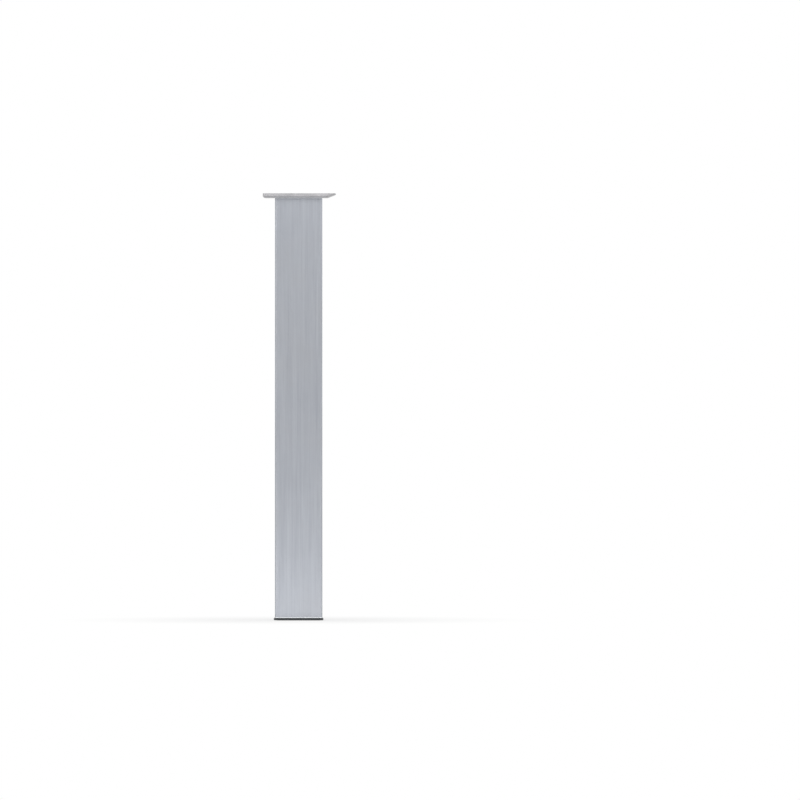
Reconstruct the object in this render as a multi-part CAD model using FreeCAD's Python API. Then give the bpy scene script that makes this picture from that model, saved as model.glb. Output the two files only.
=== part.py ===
import FreeCAD, Part
import math
import os

# A square steel table leg with a die-cast mounting plate and a height adjustable foot.
# The origin is the centre of the foot's underside, on the axis. +Z is up, and the foot is wound in.
# -Y is the front and -X the left: the two sides that face out from under the table's corner.

# The leg as a whole
leg_height = 720.0
foot_travel = 20.0

# Tube
tube_width = 80.0
tube_wall = 1.5
tube_corner = 3.0
tube_end_chamfer = 0.7

# Mounting plate
plate_thickness = 6.5
plate_overhang_out = 20.5
plate_overhang_in = 23.0
plate_chamfer_height = 2.2
plate_chamfer_width = 2.8
plate_bevel_width = 13.5
plate_land = 1.2
plate_corner_out = 3.0
plate_corner_in = 14.0
plate_corner_under = 5.0
plate_skin = 2.6
plate_rim = 3.2
plate_rib = 2.2

# Screw holes of the plate, countersunk from below
screw_hole = 5.2
screw_head = 9.4
screw_boss = 13.0
screw_edge_out = 8.7
screw_edge_in = 5.5

# Spigot of the plate, inside the tube
spigot_length = 46.0
spigot_wall = 3.4
spigot_gap = 0.25
spigot_corner = 3.0
spigot_lead = 1.6
hollow_corner = 2.5

# Clamp screws, two on each inner side of the leg
clamp_screw = 8.0
clamp_length = 12.0
clamp_socket = 4.0
clamp_socket_depth = 5.0
clamp_edge = 20.0
clamp_drop = 24.0
clamp_sunk = 0.3
clamp_hole_gap = 0.35
clamp_boss = 15.0
clamp_boss_depth = 6.0

# Foot plate and its square guide
foot_overlap = 2.0
foot_plate = 2.9
foot_edge_chamfer = 1.0
foot_corner = 5.0
pad_proud = 0.4
pad_let_in = 1.0
pad_inset = 5.0
pad_gap = 0.3
pad_corner = 4.0
pad_groove_width = 1.4
pad_groove_depth = 0.5
pad_groove_count = 9
pad_groove_border = 6.0
guide_corner = 3.0
guide_height = 26.7
hub_floor = 2.5
hub_floor_lift = 0.7
hub_wall = 6.2
hub_bore_gap = 0.8
key_hole = 18.6

# Adjusting spindle, its washer, ring and nut
thread_size = 10.0
thread_gap = 0.05
spindle_end = 1.8
spindle_reach = 5.0
spindle_tip_chamfer = 1.0
collar_size = 18.0
collar_height = 3.5
socket_size = 5.0
socket_depth = 8.0
washer_size = 18.0
washer_thickness = 1.0
washer_gap = 0.3
ring_thickness = 1.0
ring_play = 0.1
ring_width = 1.7
ring_ear = 2.6
ring_ear_hole = 1.4
ring_ear_angle = 26.0
groove_depth = 0.4
nut_width = 17.0
nut_height = 8.0

# Plug in the tube's lower end
plug_flange = 0.5
plug_flange_inset = 0.3
plug_inset = 0.5
plug_wall = 2.2
plug_floor = 2.5
plug_rise = 36.0
plug_lead = 1.2
plug_rib = 1.8
plug_rib_drop = 4.0
plug_crush = 0.44
plug_crush_width = 2.0
plug_crush_spacing = 24.0
plug_block_wall = 3.0
guide_gap = 0.3
guide_room = 1.0
nut_gap = 0.05
nut_roof = 4.0
spindle_hole_gap = 0.5

# Heights and widths that follow from the sizes above
plate_top = leg_height
plate_under = plate_top - plate_thickness
plate_reach_out = tube_width / 2 + plate_overhang_out
plate_reach_in = tube_width / 2 + plate_overhang_in
plate_flat_out = plate_reach_out - plate_chamfer_width
plate_flat_in = plate_reach_in - plate_bevel_width
screw_place_out = -(plate_flat_out - screw_edge_out)
screw_place_in = plate_flat_in - screw_edge_in
foot_under = pad_proud
foot_top = foot_under + foot_plate
tube_foot = foot_top + plug_flange
tube_inside = tube_width - 2 * tube_wall
tube_inside_corner = tube_corner - tube_wall
foot_width = tube_width + 2 * foot_overlap
spigot_width = tube_inside - 2 * spigot_gap
spigot_hollow = spigot_width - 2 * spigot_wall
clamp_level = plate_under - clamp_drop
clamp_outer_end = tube_width / 2 - clamp_sunk
clamp_offset = tube_width / 2 - clamp_edge
pad_width = foot_width - 2 * pad_inset
pad_top = foot_under + pad_let_in
hub_floor_under = foot_top + hub_floor_lift
hub_floor_top = hub_floor_under + hub_floor
guide_top = foot_top + guide_height
collar_under = hub_floor_top + washer_thickness
collar_top = collar_under + collar_height
hub_bore = max(collar_size, washer_size) + 2 * hub_bore_gap
guide_width = hub_bore + 2 * hub_wall
recess_width = guide_width + 2 * guide_gap
recess_roof = guide_top + guide_room
nut_seat = recess_roof + nut_height
plug_block_top = nut_seat + nut_roof
plug_width = tube_inside - 2 * plug_inset
plug_block_width = recess_width + 2 * plug_block_wall
plug_top = tube_foot + plug_floor + plug_rise
spindle_top = nut_seat + foot_travel + spindle_reach
journal_radius = thread_size / 2
groove_radius = journal_radius - groove_depth

vertical = FreeCAD.Vector(0, 0, 1)


def vec(x, y, z):
    return FreeCAD.Vector(x, y, z)


def outline(x_low, x_high, y_low, y_high, radii, z):
    """A rectangle with rounded corners at height z, its radii from the low corner round anticlockwise."""
    centres = [
        (x_low + radii[0], y_low + radii[0]),
        (x_high - radii[1], y_low + radii[1]),
        (x_high - radii[2], y_high - radii[2]),
        (x_low + radii[3], y_high - radii[3]),
    ]
    arcs = []
    for number, (x, y) in enumerate(centres):
        points = []
        for degrees in (180, 225, 270):
            angle = math.radians(degrees + 90 * number)
            points.append(vec(x + radii[number] * math.cos(angle), y + radii[number] * math.sin(angle), z))
        arcs.append(Part.Arc(*points).toShape())
    edges = []
    for arc, following in zip(arcs, arcs[1:] + arcs[:1]):
        edges.append(arc)
        edges.append(Part.makeLine(arc.Vertexes[-1].Point, following.Vertexes[0].Point))
    return Part.Wire(edges)


def square_outline(width, corner, z):
    half = width / 2
    return outline(-half, half, -half, half, [corner] * 4, z)


def prism(wire, height):
    return Part.Face(wire).extrude(vec(0, 0, height))


def square_bar(width, corner, z_low, z_high):
    return prism(square_outline(width, corner, z_low), z_high - z_low)


def disc(radius, z_low, z_high, x=0.0, y=0.0):
    return Part.makeCylinder(radius, z_high - z_low, vec(x, y, z_low))


def hexagon_bar(across_flats, z_low, z_high):
    radius = across_flats / math.sqrt(3)
    corners = [math.radians(60 * number) for number in range(7)]
    wire = Part.makePolygon([vec(radius * math.cos(a), radius * math.sin(a), z_low) for a in corners])
    return prism(wire, z_high - z_low)


def turned_profile(points):
    """The solid that a half profile of (radius, height) points sweeps round the leg's axis."""
    corners = [vec(radius, 0, height) for radius, height in points]
    face = Part.Face(Part.makePolygon(corners + corners[:1]))
    return face.revolve(vec(0, 0, 0), vertical, 360)


def turned(shape, degrees):
    shape = shape.copy()
    shape.rotate(vec(0, 0, 0), vertical, degrees)
    return shape


def whole(shape):
    """The shape with its flush faces merged, as one solid where it is one."""
    shape = shape.removeSplitter()
    return shape.Solids[0] if len(shape.Solids) == 1 else shape


def clamp_places():
    """Each clamp screw's name, its side's turn from the rear side, and its offset along that side."""
    places = []
    for side, degrees in (("rear", 0), ("side", -90)):
        for number, offset in enumerate((-clamp_offset, clamp_offset), start=1):
            places.append((f"clamp_screw_{side}_{number}", degrees, offset))
    return places


def clamp_bar(radius, start, end, offset, degrees):
    """A round bar on a clamp screw's axis, from start to end as distances from the leg's axis."""
    bar = Part.makeCylinder(radius, end - start, vec(offset, start, clamp_level), vec(0, 1, 0))
    return turned(bar, degrees)


def plate_body():
    """The plate's outside: chamfered on the two outer sides and bevelled on the two inner ones."""
    bevel_height = plate_thickness - plate_land
    climb = plate_chamfer_height / bevel_height
    reach_at_chamfer = plate_flat_in + climb * plate_bevel_width
    corner_at_chamfer = plate_corner_under + climb * (plate_corner_in - plate_corner_under)
    levels = [
        (0.0, plate_flat_out, plate_flat_in, plate_corner_under),
        (plate_chamfer_height, plate_reach_out, reach_at_chamfer, corner_at_chamfer),
        (bevel_height, plate_reach_out, plate_reach_in, plate_corner_in),
        (plate_thickness, plate_reach_out, plate_reach_in, plate_corner_in),
    ]
    sections = []
    for height, out, inward, corner in levels:
        radii = [plate_corner_out, corner, corner, corner]
        sections.append(outline(-out, inward, -out, inward, radii, plate_under + height))
    return Part.makeLoft(sections, True, True)


def screw_places():
    reaches = (screw_place_out, screw_place_in)
    return [(x, y) for x in reaches for y in reaches]


def plate_pockets():
    """The hollows in the casting's upper side, between its rim, ribs, bosses and spigot."""
    floor = plate_under + plate_skin
    depth = plate_top - floor
    low = -plate_reach_out + plate_rim
    high = plate_flat_in
    corners = [plate_corner_out] + [plate_corner_under] * 3
    ring = prism(outline(low, high, low, high, corners, floor), depth)
    ring = ring.cut(square_bar(spigot_width, spigot_corner, floor, plate_top))
    for x, y in screw_places():
        ring = ring.cut(disc(screw_boss / 2, floor, plate_top, x, y))
    well = square_bar(spigot_hollow, hollow_corner, floor, plate_top)
    pockets = ring.fuse(well)
    wall_line = (spigot_hollow + spigot_wall) / 2
    span = plate_reach_out + plate_reach_in
    for line in (-wall_line, 0.0, wall_line):
        rib = Part.makeBox(plate_rib, span, depth, vec(line - plate_rib / 2, -plate_reach_out, floor))
        pockets = pockets.cut(rib)
        rib = Part.makeBox(span, plate_rib, depth, vec(-plate_reach_out, line - plate_rib / 2, floor))
        pockets = pockets.cut(rib)
    return pockets


def countersunk_hole(x, y):
    """A wood screw's hole through the plate, with its countersink in the underside."""
    sink = (screw_head - screw_hole) / 2
    hole = disc(screw_hole / 2, plate_under, plate_top, x, y)
    cone = Part.makeCone(screw_head / 2, screw_hole / 2, sink, vec(x, y, plate_under))
    return hole.fuse(cone)


def spigot():
    """The hollow square spigot with its clamp screw bosses, cast in one with the plate."""
    low = plate_under - spigot_length
    lead_width = spigot_width - 2 * spigot_lead
    outside = square_bar(spigot_width, spigot_corner, low + spigot_lead, plate_under)
    lead = Part.makeLoft([
        square_outline(lead_width, spigot_corner, low),
        square_outline(spigot_width, spigot_corner, low + spigot_lead),
    ], True, True)
    body = outside.fuse(lead).cut(square_bar(spigot_hollow, hollow_corner, low, plate_under))
    wall_inside = spigot_hollow / 2
    for _, degrees, offset in clamp_places():
        corner = vec(offset - clamp_boss / 2, wall_inside - clamp_boss_depth, clamp_level)
        pillar = Part.makeBox(clamp_boss, clamp_boss_depth, clamp_drop, corner)
        round_end = clamp_bar(clamp_boss / 2, wall_inside - clamp_boss_depth, wall_inside, offset, degrees)
        body = body.fuse([turned(pillar, degrees), round_end])
    return body


def mounting_plate():
    plate = plate_body().cut(plate_pockets()).fuse(spigot())
    holes = [countersunk_hole(x, y) for x, y in screw_places()]
    bore_start = spigot_hollow / 2 - clamp_boss_depth
    for _, degrees, offset in clamp_places():
        radius = clamp_screw / 2 + thread_gap
        holes.append(clamp_bar(radius, bore_start, tube_width / 2, offset, degrees))
    return whole(plate.cut(holes))


def end_edges(shape, levels):
    """The edges of a prism that lie in the planes of its ends."""
    found = []
    for edge in shape.Edges:
        heights = [vertex.Z for vertex in edge.Vertexes]
        for level in levels:
            if max(abs(height - level) for height in heights) < 1e-6:
                found.append(edge)
    return found


def leg_tube():
    """A welded square tube, broken at both outer end edges and drilled for the clamp screws."""
    outside = square_bar(tube_width, tube_corner, tube_foot, plate_under)
    outside = outside.makeChamfer(tube_end_chamfer, end_edges(outside, (tube_foot, plate_under)))
    tube = outside.cut(square_bar(tube_inside, tube_inside_corner, tube_foot, plate_under))
    holes = []
    for _, degrees, offset in clamp_places():
        radius = clamp_screw / 2 + clamp_hole_gap
        holes.append(clamp_bar(radius, spigot_hollow / 2, tube_width / 2, offset, degrees))
    return whole(tube.cut(holes))


def clamp_set_screw(degrees, offset):
    """A flat-point set screw, from just inside the tube's face down into the spigot's boss."""
    body = disc(clamp_screw / 2, 0.0, clamp_length)
    body = body.cut(hexagon_bar(clamp_socket, clamp_length - clamp_socket_depth, clamp_length))
    body.rotate(vec(0, 0, 0), vec(1, 0, 0), -90)
    body.translate(vec(offset, clamp_outer_end - clamp_length, clamp_level))
    return turned(body, degrees)


def plug_shell():
    """The plug's open box with its flange, and a lead-in round its upper end."""
    corner = tube_inside_corner + plug_inset
    flange = square_bar(tube_width - 2 * plug_flange_inset, tube_corner, foot_top, tube_foot)
    outside = square_bar(plug_width, corner, tube_foot, plug_top - plug_lead)
    lead = Part.makeLoft([
        square_outline(plug_width, corner, plug_top - plug_lead),
        square_outline(plug_width - plug_lead, corner, plug_top),
    ], True, True)
    inside = square_bar(plug_width - 2 * plug_wall, corner, tube_foot + plug_floor, plug_top)
    return flange.fuse([outside, lead]).cut(inside)


def plug_ribs():
    """Webs in line with the block's four faces, from wall to wall of the plug."""
    length = plug_width - plug_wall
    low = tube_foot + plug_floor
    height = plug_block_top - plug_rib_drop - low
    line = (plug_block_width - plug_rib) / 2
    ribs = []
    for place in (-line, line):
        ribs.append(Part.makeBox(length, plug_rib, height, vec(-length / 2, place - plug_rib / 2, low)))
        ribs.append(Part.makeBox(plug_rib, length, height, vec(place - plug_rib / 2, -length / 2, low)))
    return ribs


def plug_crush_ribs():
    """Low upright ribs outside the plug, three a side, that grip the tube."""
    height = plug_top - plug_lead - tube_foot
    ribs = []
    for side in range(4):
        for place in (-plug_crush_spacing, 0.0, plug_crush_spacing):
            corner = vec(place - plug_crush_width / 2, plug_width / 2 - plug_wall / 2, tube_foot)
            rib = Part.makeBox(plug_crush_width, plug_wall / 2 + plug_crush, height, corner)
            ribs.append(turned(rib, 90 * side))
    return ribs


def foot_plug():
    """The moulded plug that carries the nut, with the square recess that guides the foot."""
    block = square_bar(plug_block_width, guide_corner + plug_block_wall, foot_top, plug_block_top)
    plug = plug_shell().fuse([block] + plug_ribs() + plug_crush_ribs())
    hollows = [
        square_bar(recess_width, guide_corner, foot_top, recess_roof),
        hexagon_bar(nut_width + 2 * nut_gap, recess_roof, nut_seat),
        disc(thread_size / 2 + spindle_hole_gap, nut_seat, plug_block_top),
    ]
    return whole(plug.cut(hollows))


def foot_nut():
    """A hexagon nut, let into the plug's block from below."""
    nut = hexagon_bar(nut_width, recess_roof, nut_seat)
    return whole(nut.cut(disc(thread_size / 2 + thread_gap, recess_roof, nut_seat)))


def foot_spindle():
    """The adjusting spindle: a grooved journal, a collar, and a threaded length up through the nut."""
    ring_low = hub_floor_under - ring_play - ring_thickness
    spindle = turned_profile([
        (0, spindle_end),
        (journal_radius, spindle_end),
        (journal_radius, ring_low - ring_play / 2),
        (groove_radius, ring_low - ring_play / 2),
        (groove_radius, hub_floor_under - ring_play / 2),
        (journal_radius, hub_floor_under - ring_play / 2),
        (journal_radius, collar_under),
        (collar_size / 2, collar_under),
        (collar_size / 2, collar_top),
        (journal_radius, collar_top),
        (journal_radius, spindle_top - spindle_tip_chamfer),
        (journal_radius - spindle_tip_chamfer, spindle_top),
        (0, spindle_top),
    ])
    return whole(spindle.cut(hexagon_bar(socket_size, spindle_end, spindle_end + socket_depth)))


def thrust_washer():
    inside = journal_radius + washer_gap
    washer = disc(washer_size / 2, hub_floor_top, collar_under)
    return whole(washer.cut(disc(inside, hub_floor_top, collar_under)))


def retaining_ring():
    """An open spring ring with two eared ends, in the spindle's groove under the hub's floor."""
    low = hub_floor_under - ring_play - ring_thickness
    high = low + ring_thickness
    inside = groove_radius + thread_gap
    outside = inside + ring_width
    ring = disc(outside, low, high)
    ear_centre = inside + ring_ear / 2
    eyes = []
    for degrees in (-ring_ear_angle, ring_ear_angle):
        angle = math.radians(degrees)
        x = ear_centre * math.cos(angle)
        y = ear_centre * math.sin(angle)
        ring = ring.fuse(disc(ring_ear / 2, low, high, x, y))
        eyes.append(disc(ring_ear_hole / 2, low, high, x, y))
    gap_angle = math.radians(ring_ear_angle / 2)
    reach = 2 * outside
    mouth = Part.makePolygon([
        vec(0, 0, low),
        vec(reach * math.cos(gap_angle), -reach * math.sin(gap_angle), low),
        vec(reach * math.cos(gap_angle), reach * math.sin(gap_angle), low),
        vec(0, 0, low),
    ])
    return whole(ring.cut([disc(inside, low, high), prism(mouth, ring_thickness)] + eyes))


def foot_base():
    """The moulded foot plate with its square guide, hub floor, key hole and the pad's recess."""
    plate = square_bar(foot_width, foot_corner, foot_under, foot_top)
    plate = plate.makeChamfer(foot_edge_chamfer, end_edges(plate, (foot_under, foot_top)))
    guide = square_bar(guide_width, guide_corner, foot_under, guide_top)
    hollows = [
        square_bar(pad_width + 2 * pad_gap, pad_corner + pad_gap, foot_under, pad_top),
        disc(key_hole / 2, foot_under, hub_floor_under),
        disc(journal_radius + thread_gap, hub_floor_under, hub_floor_top),
        disc(hub_bore / 2, hub_floor_top, guide_top),
    ]
    return whole(plate.fuse(guide).cut(hollows))


def foot_pad():
    """The non-slip pad, grooved on its underside and open round the key hole."""
    pad = square_bar(pad_width, pad_corner, 0.0, pad_top)
    cuts = [disc(key_hole / 2, 0.0, pad_top)]
    length = pad_width - 2 * pad_groove_border
    spacing = length / (pad_groove_count - 1)
    for number in range(pad_groove_count):
        y = -length / 2 + number * spacing - pad_groove_width / 2
        cuts.append(Part.makeBox(length, pad_groove_width, pad_groove_depth, vec(-length / 2, y, 0.0)))
    return whole(pad.cut(cuts))


parts = {
    "mounting_plate": mounting_plate(),
    "leg_tube": leg_tube(),
    "foot_plug": foot_plug(),
    "foot_nut": foot_nut(),
    "foot_spindle": foot_spindle(),
    "thrust_washer": thrust_washer(),
    "retaining_ring": retaining_ring(),
    "foot_base": foot_base(),
    "foot_pad": foot_pad(),
}
for name, degrees, offset in clamp_places():
    parts[name] = clamp_set_screw(degrees, offset)

os.makedirs("parts", exist_ok=True)
for name, shape in parts.items():
    shape.exportStep(f"parts/{name}.step")
    print(f"{name}: {len(shape.Solids)} solid, {shape.Volume / 1000:.2f} cm3, valid {shape.isValid()}")
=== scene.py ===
# %% [markdown]
# # A height adjustable table leg
# The real leg is a square tube of brushed steel. A die-cast plate closes its upper end and takes the fixing
# screws. A moulded plug closes its lower end and holds a nut, and a spindle in that nut winds a black foot in
# and out. The construction model already has the right sizes and the right motion, so it is loaded as a
# fixed frame, and every size here starts from it. What is left to do is what the eye judges: soft edges,
# threads, and the finish of each surface.

# %% Load the frame
import math
import bpy
import bmesh
from mathutils import Matrix, Vector


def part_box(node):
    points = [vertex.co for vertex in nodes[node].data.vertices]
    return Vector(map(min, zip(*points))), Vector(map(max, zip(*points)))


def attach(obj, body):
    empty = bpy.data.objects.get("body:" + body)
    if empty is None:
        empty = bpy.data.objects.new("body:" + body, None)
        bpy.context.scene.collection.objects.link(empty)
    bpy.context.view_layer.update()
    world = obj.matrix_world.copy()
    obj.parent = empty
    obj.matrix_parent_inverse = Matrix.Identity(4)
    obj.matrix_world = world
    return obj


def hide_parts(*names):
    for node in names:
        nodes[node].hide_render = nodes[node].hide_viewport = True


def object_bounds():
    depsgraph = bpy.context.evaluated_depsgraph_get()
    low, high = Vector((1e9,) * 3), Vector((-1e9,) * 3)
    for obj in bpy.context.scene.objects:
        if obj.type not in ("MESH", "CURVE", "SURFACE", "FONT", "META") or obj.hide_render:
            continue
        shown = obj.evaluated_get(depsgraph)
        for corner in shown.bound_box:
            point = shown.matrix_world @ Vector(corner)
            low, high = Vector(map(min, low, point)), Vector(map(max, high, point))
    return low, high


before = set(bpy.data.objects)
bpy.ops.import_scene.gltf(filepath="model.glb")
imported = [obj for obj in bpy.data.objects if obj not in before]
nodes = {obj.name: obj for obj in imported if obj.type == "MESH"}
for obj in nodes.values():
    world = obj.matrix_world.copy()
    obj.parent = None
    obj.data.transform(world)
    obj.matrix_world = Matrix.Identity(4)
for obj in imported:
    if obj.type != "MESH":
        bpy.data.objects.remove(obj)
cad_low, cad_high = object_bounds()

mm = 0.001
print("box in mm", [round(value / mm, 2) for value in (*cad_low, *cad_high)])

# %% [markdown]
# ## Two small helpers
# Colours are written the way that a paint chart or a photo editor gives them, as sRGB hex values. Blender's
# shaders work in linear light, so one function turns them. The other helper adds a node with its settings,
# and fills or links its sockets, named by a dictionary or simply in order. Given a node instead of a value,
# it links that node's first output in use. It serves the shader trees and the geometry trees alike. The
# three kinds of node that are used most get short names.

# %% Helpers for colours and nodes
def linear(hex_colour):
    """An sRGB hex colour such as "#A7AAB2" as a linear colour with alpha 1."""
    channels = [int(hex_colour[place:place + 2], 16) / 255 for place in (1, 3, 5)]
    return [c / 12.92 if c <= 0.04045 else ((c + 0.055) / 1.055) ** 2.4 for c in channels] + [1.0]


maths = "ShaderNodeMath"
spread = "ShaderNodeMapRange"
mix = "ShaderNodeMix"


def add(tree, kind, sockets=(), **settings):
    """Adds a node. A socket takes a value, a hex colour, a socket, a node, or a list of such sources."""
    node = tree.nodes.new(kind)
    for name, value in settings.items():
        setattr(node, name, value)
    for name, given in sockets.items() if isinstance(sockets, dict) else enumerate(sockets):
        for source in given if isinstance(given, list) else [given]:
            if isinstance(source, bpy.types.Node):
                source = next(output for output in source.outputs if output.enabled)
            if isinstance(source, bpy.types.NodeSocket):
                tree.links.new(source, node.inputs[name])
            else:
                node.inputs[name].default_value = linear(source) if isinstance(source, str) else source
    return node


print("mid grey in linear light", [round(value, 3) for value in linear("#808080")])

# %% [markdown]
# ## The camera
# The leg is pictured straight from the front, standing left of the middle. No underside shows at the plate
# and no upper side at the foot, so the camera is very far away with a very long lens. The lens and the
# camera's height are worked out from two edges in the picture: the top of the plate and the underside of the
# foot. The sideways place comes from the camera's shift, which moves the picture without turning the leg.

# %% Camera
picture_width = 800
leg_axis_pixel = 298.65
leg_top_pixel = 193.2
leg_foot_pixel = 620.4
camera_distance = 20.0

leg_height = cad_high.z - cad_low.z
tube_low, tube_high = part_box("leg_tube")
plate_away = camera_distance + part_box("mounting_plate")[0].y
foot_away = camera_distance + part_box("foot_base")[0].y
pixels_up = picture_width / 2 - leg_top_pixel
pixels_down = leg_foot_pixel - picture_width / 2
focal_pixels = (pixels_up * plate_away + pixels_down * foot_away) / leg_height
camera_data = bpy.data.cameras.new("camera")
camera_data.sensor_width = 36.0
camera_data.lens = camera_data.sensor_width * focal_pixels / picture_width
camera_data.shift_x = (picture_width / 2 - leg_axis_pixel) / picture_width
camera_data.clip_end = 100.0
camera = bpy.data.objects.new("camera", camera_data)
camera.location = (0.0, -camera_distance, pixels_down * foot_away / focal_pixels)
camera.rotation_euler = (math.radians(90), 0.0, 0.0)
bpy.context.scene.collection.objects.link(camera)
bpy.context.scene.camera = camera
bpy.context.scene.view_settings.view_transform = "Standard"
print("lens", round(camera_data.lens), "mm, height", round(camera.location.z, 3), "m")

# %% [markdown]
# ## The studio
# Satin metal shows the room more than itself, so the room matters as much as the finish. The world is white
# for the camera and for reflections, and dimmer where it lights things. Large, dim lamps stand round the leg,
# because a small bright one would burn out the plate's upper side at a low angle. A small one near the plate
# lifts the tube's head. One more lies on the floor in front and shines up, as a sunlit floor does: it makes
# the foot of the tube paler than its middle, and fills in the underside of the plate.

# %% World and lamps
def white_room(tree, reach):
    """One where a ray comes from the camera, or by way of a mirror or glass, and otherwise nought."""
    path = add(tree, "ShaderNodeLightPath")
    seen = add(tree, maths, (path.outputs["Is Camera Ray"], path.outputs["Is Glossy Ray"]),
               operation="MAXIMUM")
    return add(tree, maths, (seen, path.outputs[reach]), operation="MAXIMUM")


ambient_strength = 0.42
world = bpy.data.worlds.new("white_studio")
bpy.context.scene.world = world
world.use_nodes = True
world_tree = world.node_tree
world_tree.nodes.clear()
seen_white = white_room(world_tree, "Is Transmission Ray")
strength = add(world_tree, spread, {"Value": seen_white, "To Min": ambient_strength})
sky = add(world_tree, "ShaderNodeBackground", {"Color": "#FFFFFF", "Strength": strength})
add(world_tree, "ShaderNodeOutputWorld", {"Surface": sky})

lamp_plan = {
    "key_left": ((-1.6, -2.2, 1.3), (0.0, 0.0, 0.40), 2.0, 19.0),
    "fill_right": ((2.0, -1.7, 1.3), (0.0, 0.0, 0.40), 2.0, 13.0),
    "high_front": ((0.0, -1.1, 1.25), (0.0, 0.0, 0.62), 0.7, 3.0),
    "floor_bounce": ((0.0, -0.66, 0.001), (0.0, -0.66, 1.0), 1.2, 5.5),
    "back_left": ((-1.8, 2.0, 1.3), (0.0, 0.0, 0.40), 2.0, 15.0),
    "back_right": ((1.8, 2.2, 1.3), (0.0, 0.0, 0.40), 2.0, 15.0),
    "overhead": ((0.0, 0.0, 2.6), (0.0, 0.0, 0.0), 1.8, 9.0),
}
for lamp_name, (place, aim, size, watts) in lamp_plan.items():
    lamp_data = bpy.data.lights.new(lamp_name, "AREA")
    lamp_data.size = size
    lamp_data.energy = watts
    lamp = bpy.data.objects.new(lamp_name, lamp_data)
    lamp.location = place
    lamp.rotation_euler = (Vector(aim) - Vector(place)).to_track_quat("-Z", "Y").to_euler()
    bpy.context.scene.collection.objects.link(lamp)
print("lamps", len(lamp_plan), "ambient", ambient_strength)

# %% [markdown]
# ## The floor
# The picture's ground is white, but a leg with no shadow at all seems to float. Near the foot the floor is
# plain matt white that takes the leg's soft shadow, and further out it blends into the white of the room.
# Seen from below it is clear, so that the foot's underside can be looked at. It goes down with the foot, so
# the leg still stands on it when the foot is wound out. It is a single triangle, because an inner edge under
# the foot would show there as a faint line.

# %% Floor
floor_reach = 8.0
floor_drop = 0.3 * mm
shadow_start = 0.04
shadow_reach = 0.45
shadow_share = 0.36

floor_mesh = bpy.data.meshes.new("floor")
floor_turns = [math.radians(angle) for angle in (90, 210, 330)]
floor_points = [(floor_reach * math.cos(a), floor_reach * math.sin(a), -floor_drop) for a in floor_turns]
floor_mesh.from_pydata(floor_points, [], [(0, 1, 2)])
floor = bpy.data.objects.new("floor", floor_mesh)
bpy.context.scene.collection.objects.link(floor)

floor_paint = bpy.data.materials.new("matt_white_floor")
floor_paint.use_nodes = True
floor_tree = floor_paint.node_tree
floor_tree.nodes.clear()
floor_place = add(floor_tree, "ShaderNodeTexCoord").outputs["Object"]
floor_distance = add(floor_tree, "ShaderNodeVectorMath", (floor_place,), operation="LENGTH")
fade = add(floor_tree, spread, (floor_distance, shadow_start, shadow_reach, 1 - shadow_share, 1.0),
           interpolation_type="SMOOTHSTEP")
floor_seen = white_room(floor_tree, "Is Transmission Ray")
glow_share = add(floor_tree, maths, (fade, floor_seen), operation="MULTIPLY")
matt = add(floor_tree, "ShaderNodeBsdfDiffuse", {"Color": "#F2F2F2"})
glow = add(floor_tree, "ShaderNodeEmission", {"Color": "#FFFFFF", "Strength": 1.0})
clear = add(floor_tree, "ShaderNodeBsdfTransparent")
upper = add(floor_tree, "ShaderNodeMixShader", (glow_share, matt, glow))
underneath = add(floor_tree, "ShaderNodeNewGeometry").outputs["Backfacing"]
both = add(floor_tree, "ShaderNodeMixShader", (underneath, upper, clear))
add(floor_tree, "ShaderNodeOutputMaterial", {"Surface": both})
floor_mesh.materials.append(floor_paint)
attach(floor, "foot")
print("floor", floor_reach, "m to each corner, shadow fades over", shadow_reach, "m")

# %% [markdown]
# ## Shared parts of every finish
# All the finishes have three things in common. Each is laid on Object coordinates, so a pattern has its real
# size and stays put when a piece moves. Each is made of noise at two scales or more: a fine one for how the
# surface was made, and a broad one for how it was handled since. And each knows where its edges are. For
# that, a Bevel node bends the surface direction near an edge, and the more it differs from the true
# direction, the nearer the edge is. The lighter colour laid there is partly wear and partly a painted
# highlight, for the light that a small rounded edge catches. Noise rarely leaves the usual range that is
# named here, so that range is what gets spread over a colour or a roughness.

# %% Building blocks of a finish
usual = (0.3, 0.7)
edge_turn = (0.995, 0.86)
edge_breakup = (0.35, 0.65, 0.45, 1.0)


def finish_tree(name):
    """A new material of that name, its empty tree and its Object coordinates."""
    material = bpy.data.materials.new(name)
    material.use_nodes = True
    tree = material.node_tree
    tree.nodes.clear()
    place = add(tree, "ShaderNodeTexCoord").outputs["Object"]
    return material, tree, place


def grain(tree, place, size, detail=3.0, rough=0.55):
    """Noise whose features have that size, in metres, one number for each direction."""
    scale = tuple(1 / value for value in size)
    stretched = add(tree, "ShaderNodeMapping", {"Vector": place, "Scale": scale})
    settings = {"Vector": stretched, "Scale": 1.0, "Detail": detail, "Roughness": rough}
    return add(tree, "ShaderNodeTexNoise", settings)


def layer(tree, below, above, noise, *bounds):
    """One colour over another, with a cover that follows the noise between its bounds."""
    cover = add(tree, spread, (noise, *bounds))
    return add(tree, mix, {0: cover, 6: below, 7: above}, data_type="RGBA")


def worn_and_highlit_edges(tree, below, above, radius, breakup):
    """The colour above on outer and inner edges, fading over the radius and broken up by the noise: partly
    wear, partly a painted highlight.
    """
    bent = add(tree, "ShaderNodeBevel", {"Radius": radius}, samples=4)
    true = add(tree, "ShaderNodeNewGeometry").outputs["Normal"]
    same = add(tree, "ShaderNodeVectorMath", (bent, true), operation="DOT_PRODUCT")
    turn = add(tree, spread, (same, *edge_turn))
    uneven = add(tree, spread, (breakup, *edge_breakup))
    wear_and_highlight = add(tree, maths, (turn, uneven), operation="MULTIPLY")
    return add(tree, mix, {0: wear_and_highlight, 6: below, 7: above}, data_type="RGBA")


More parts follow.
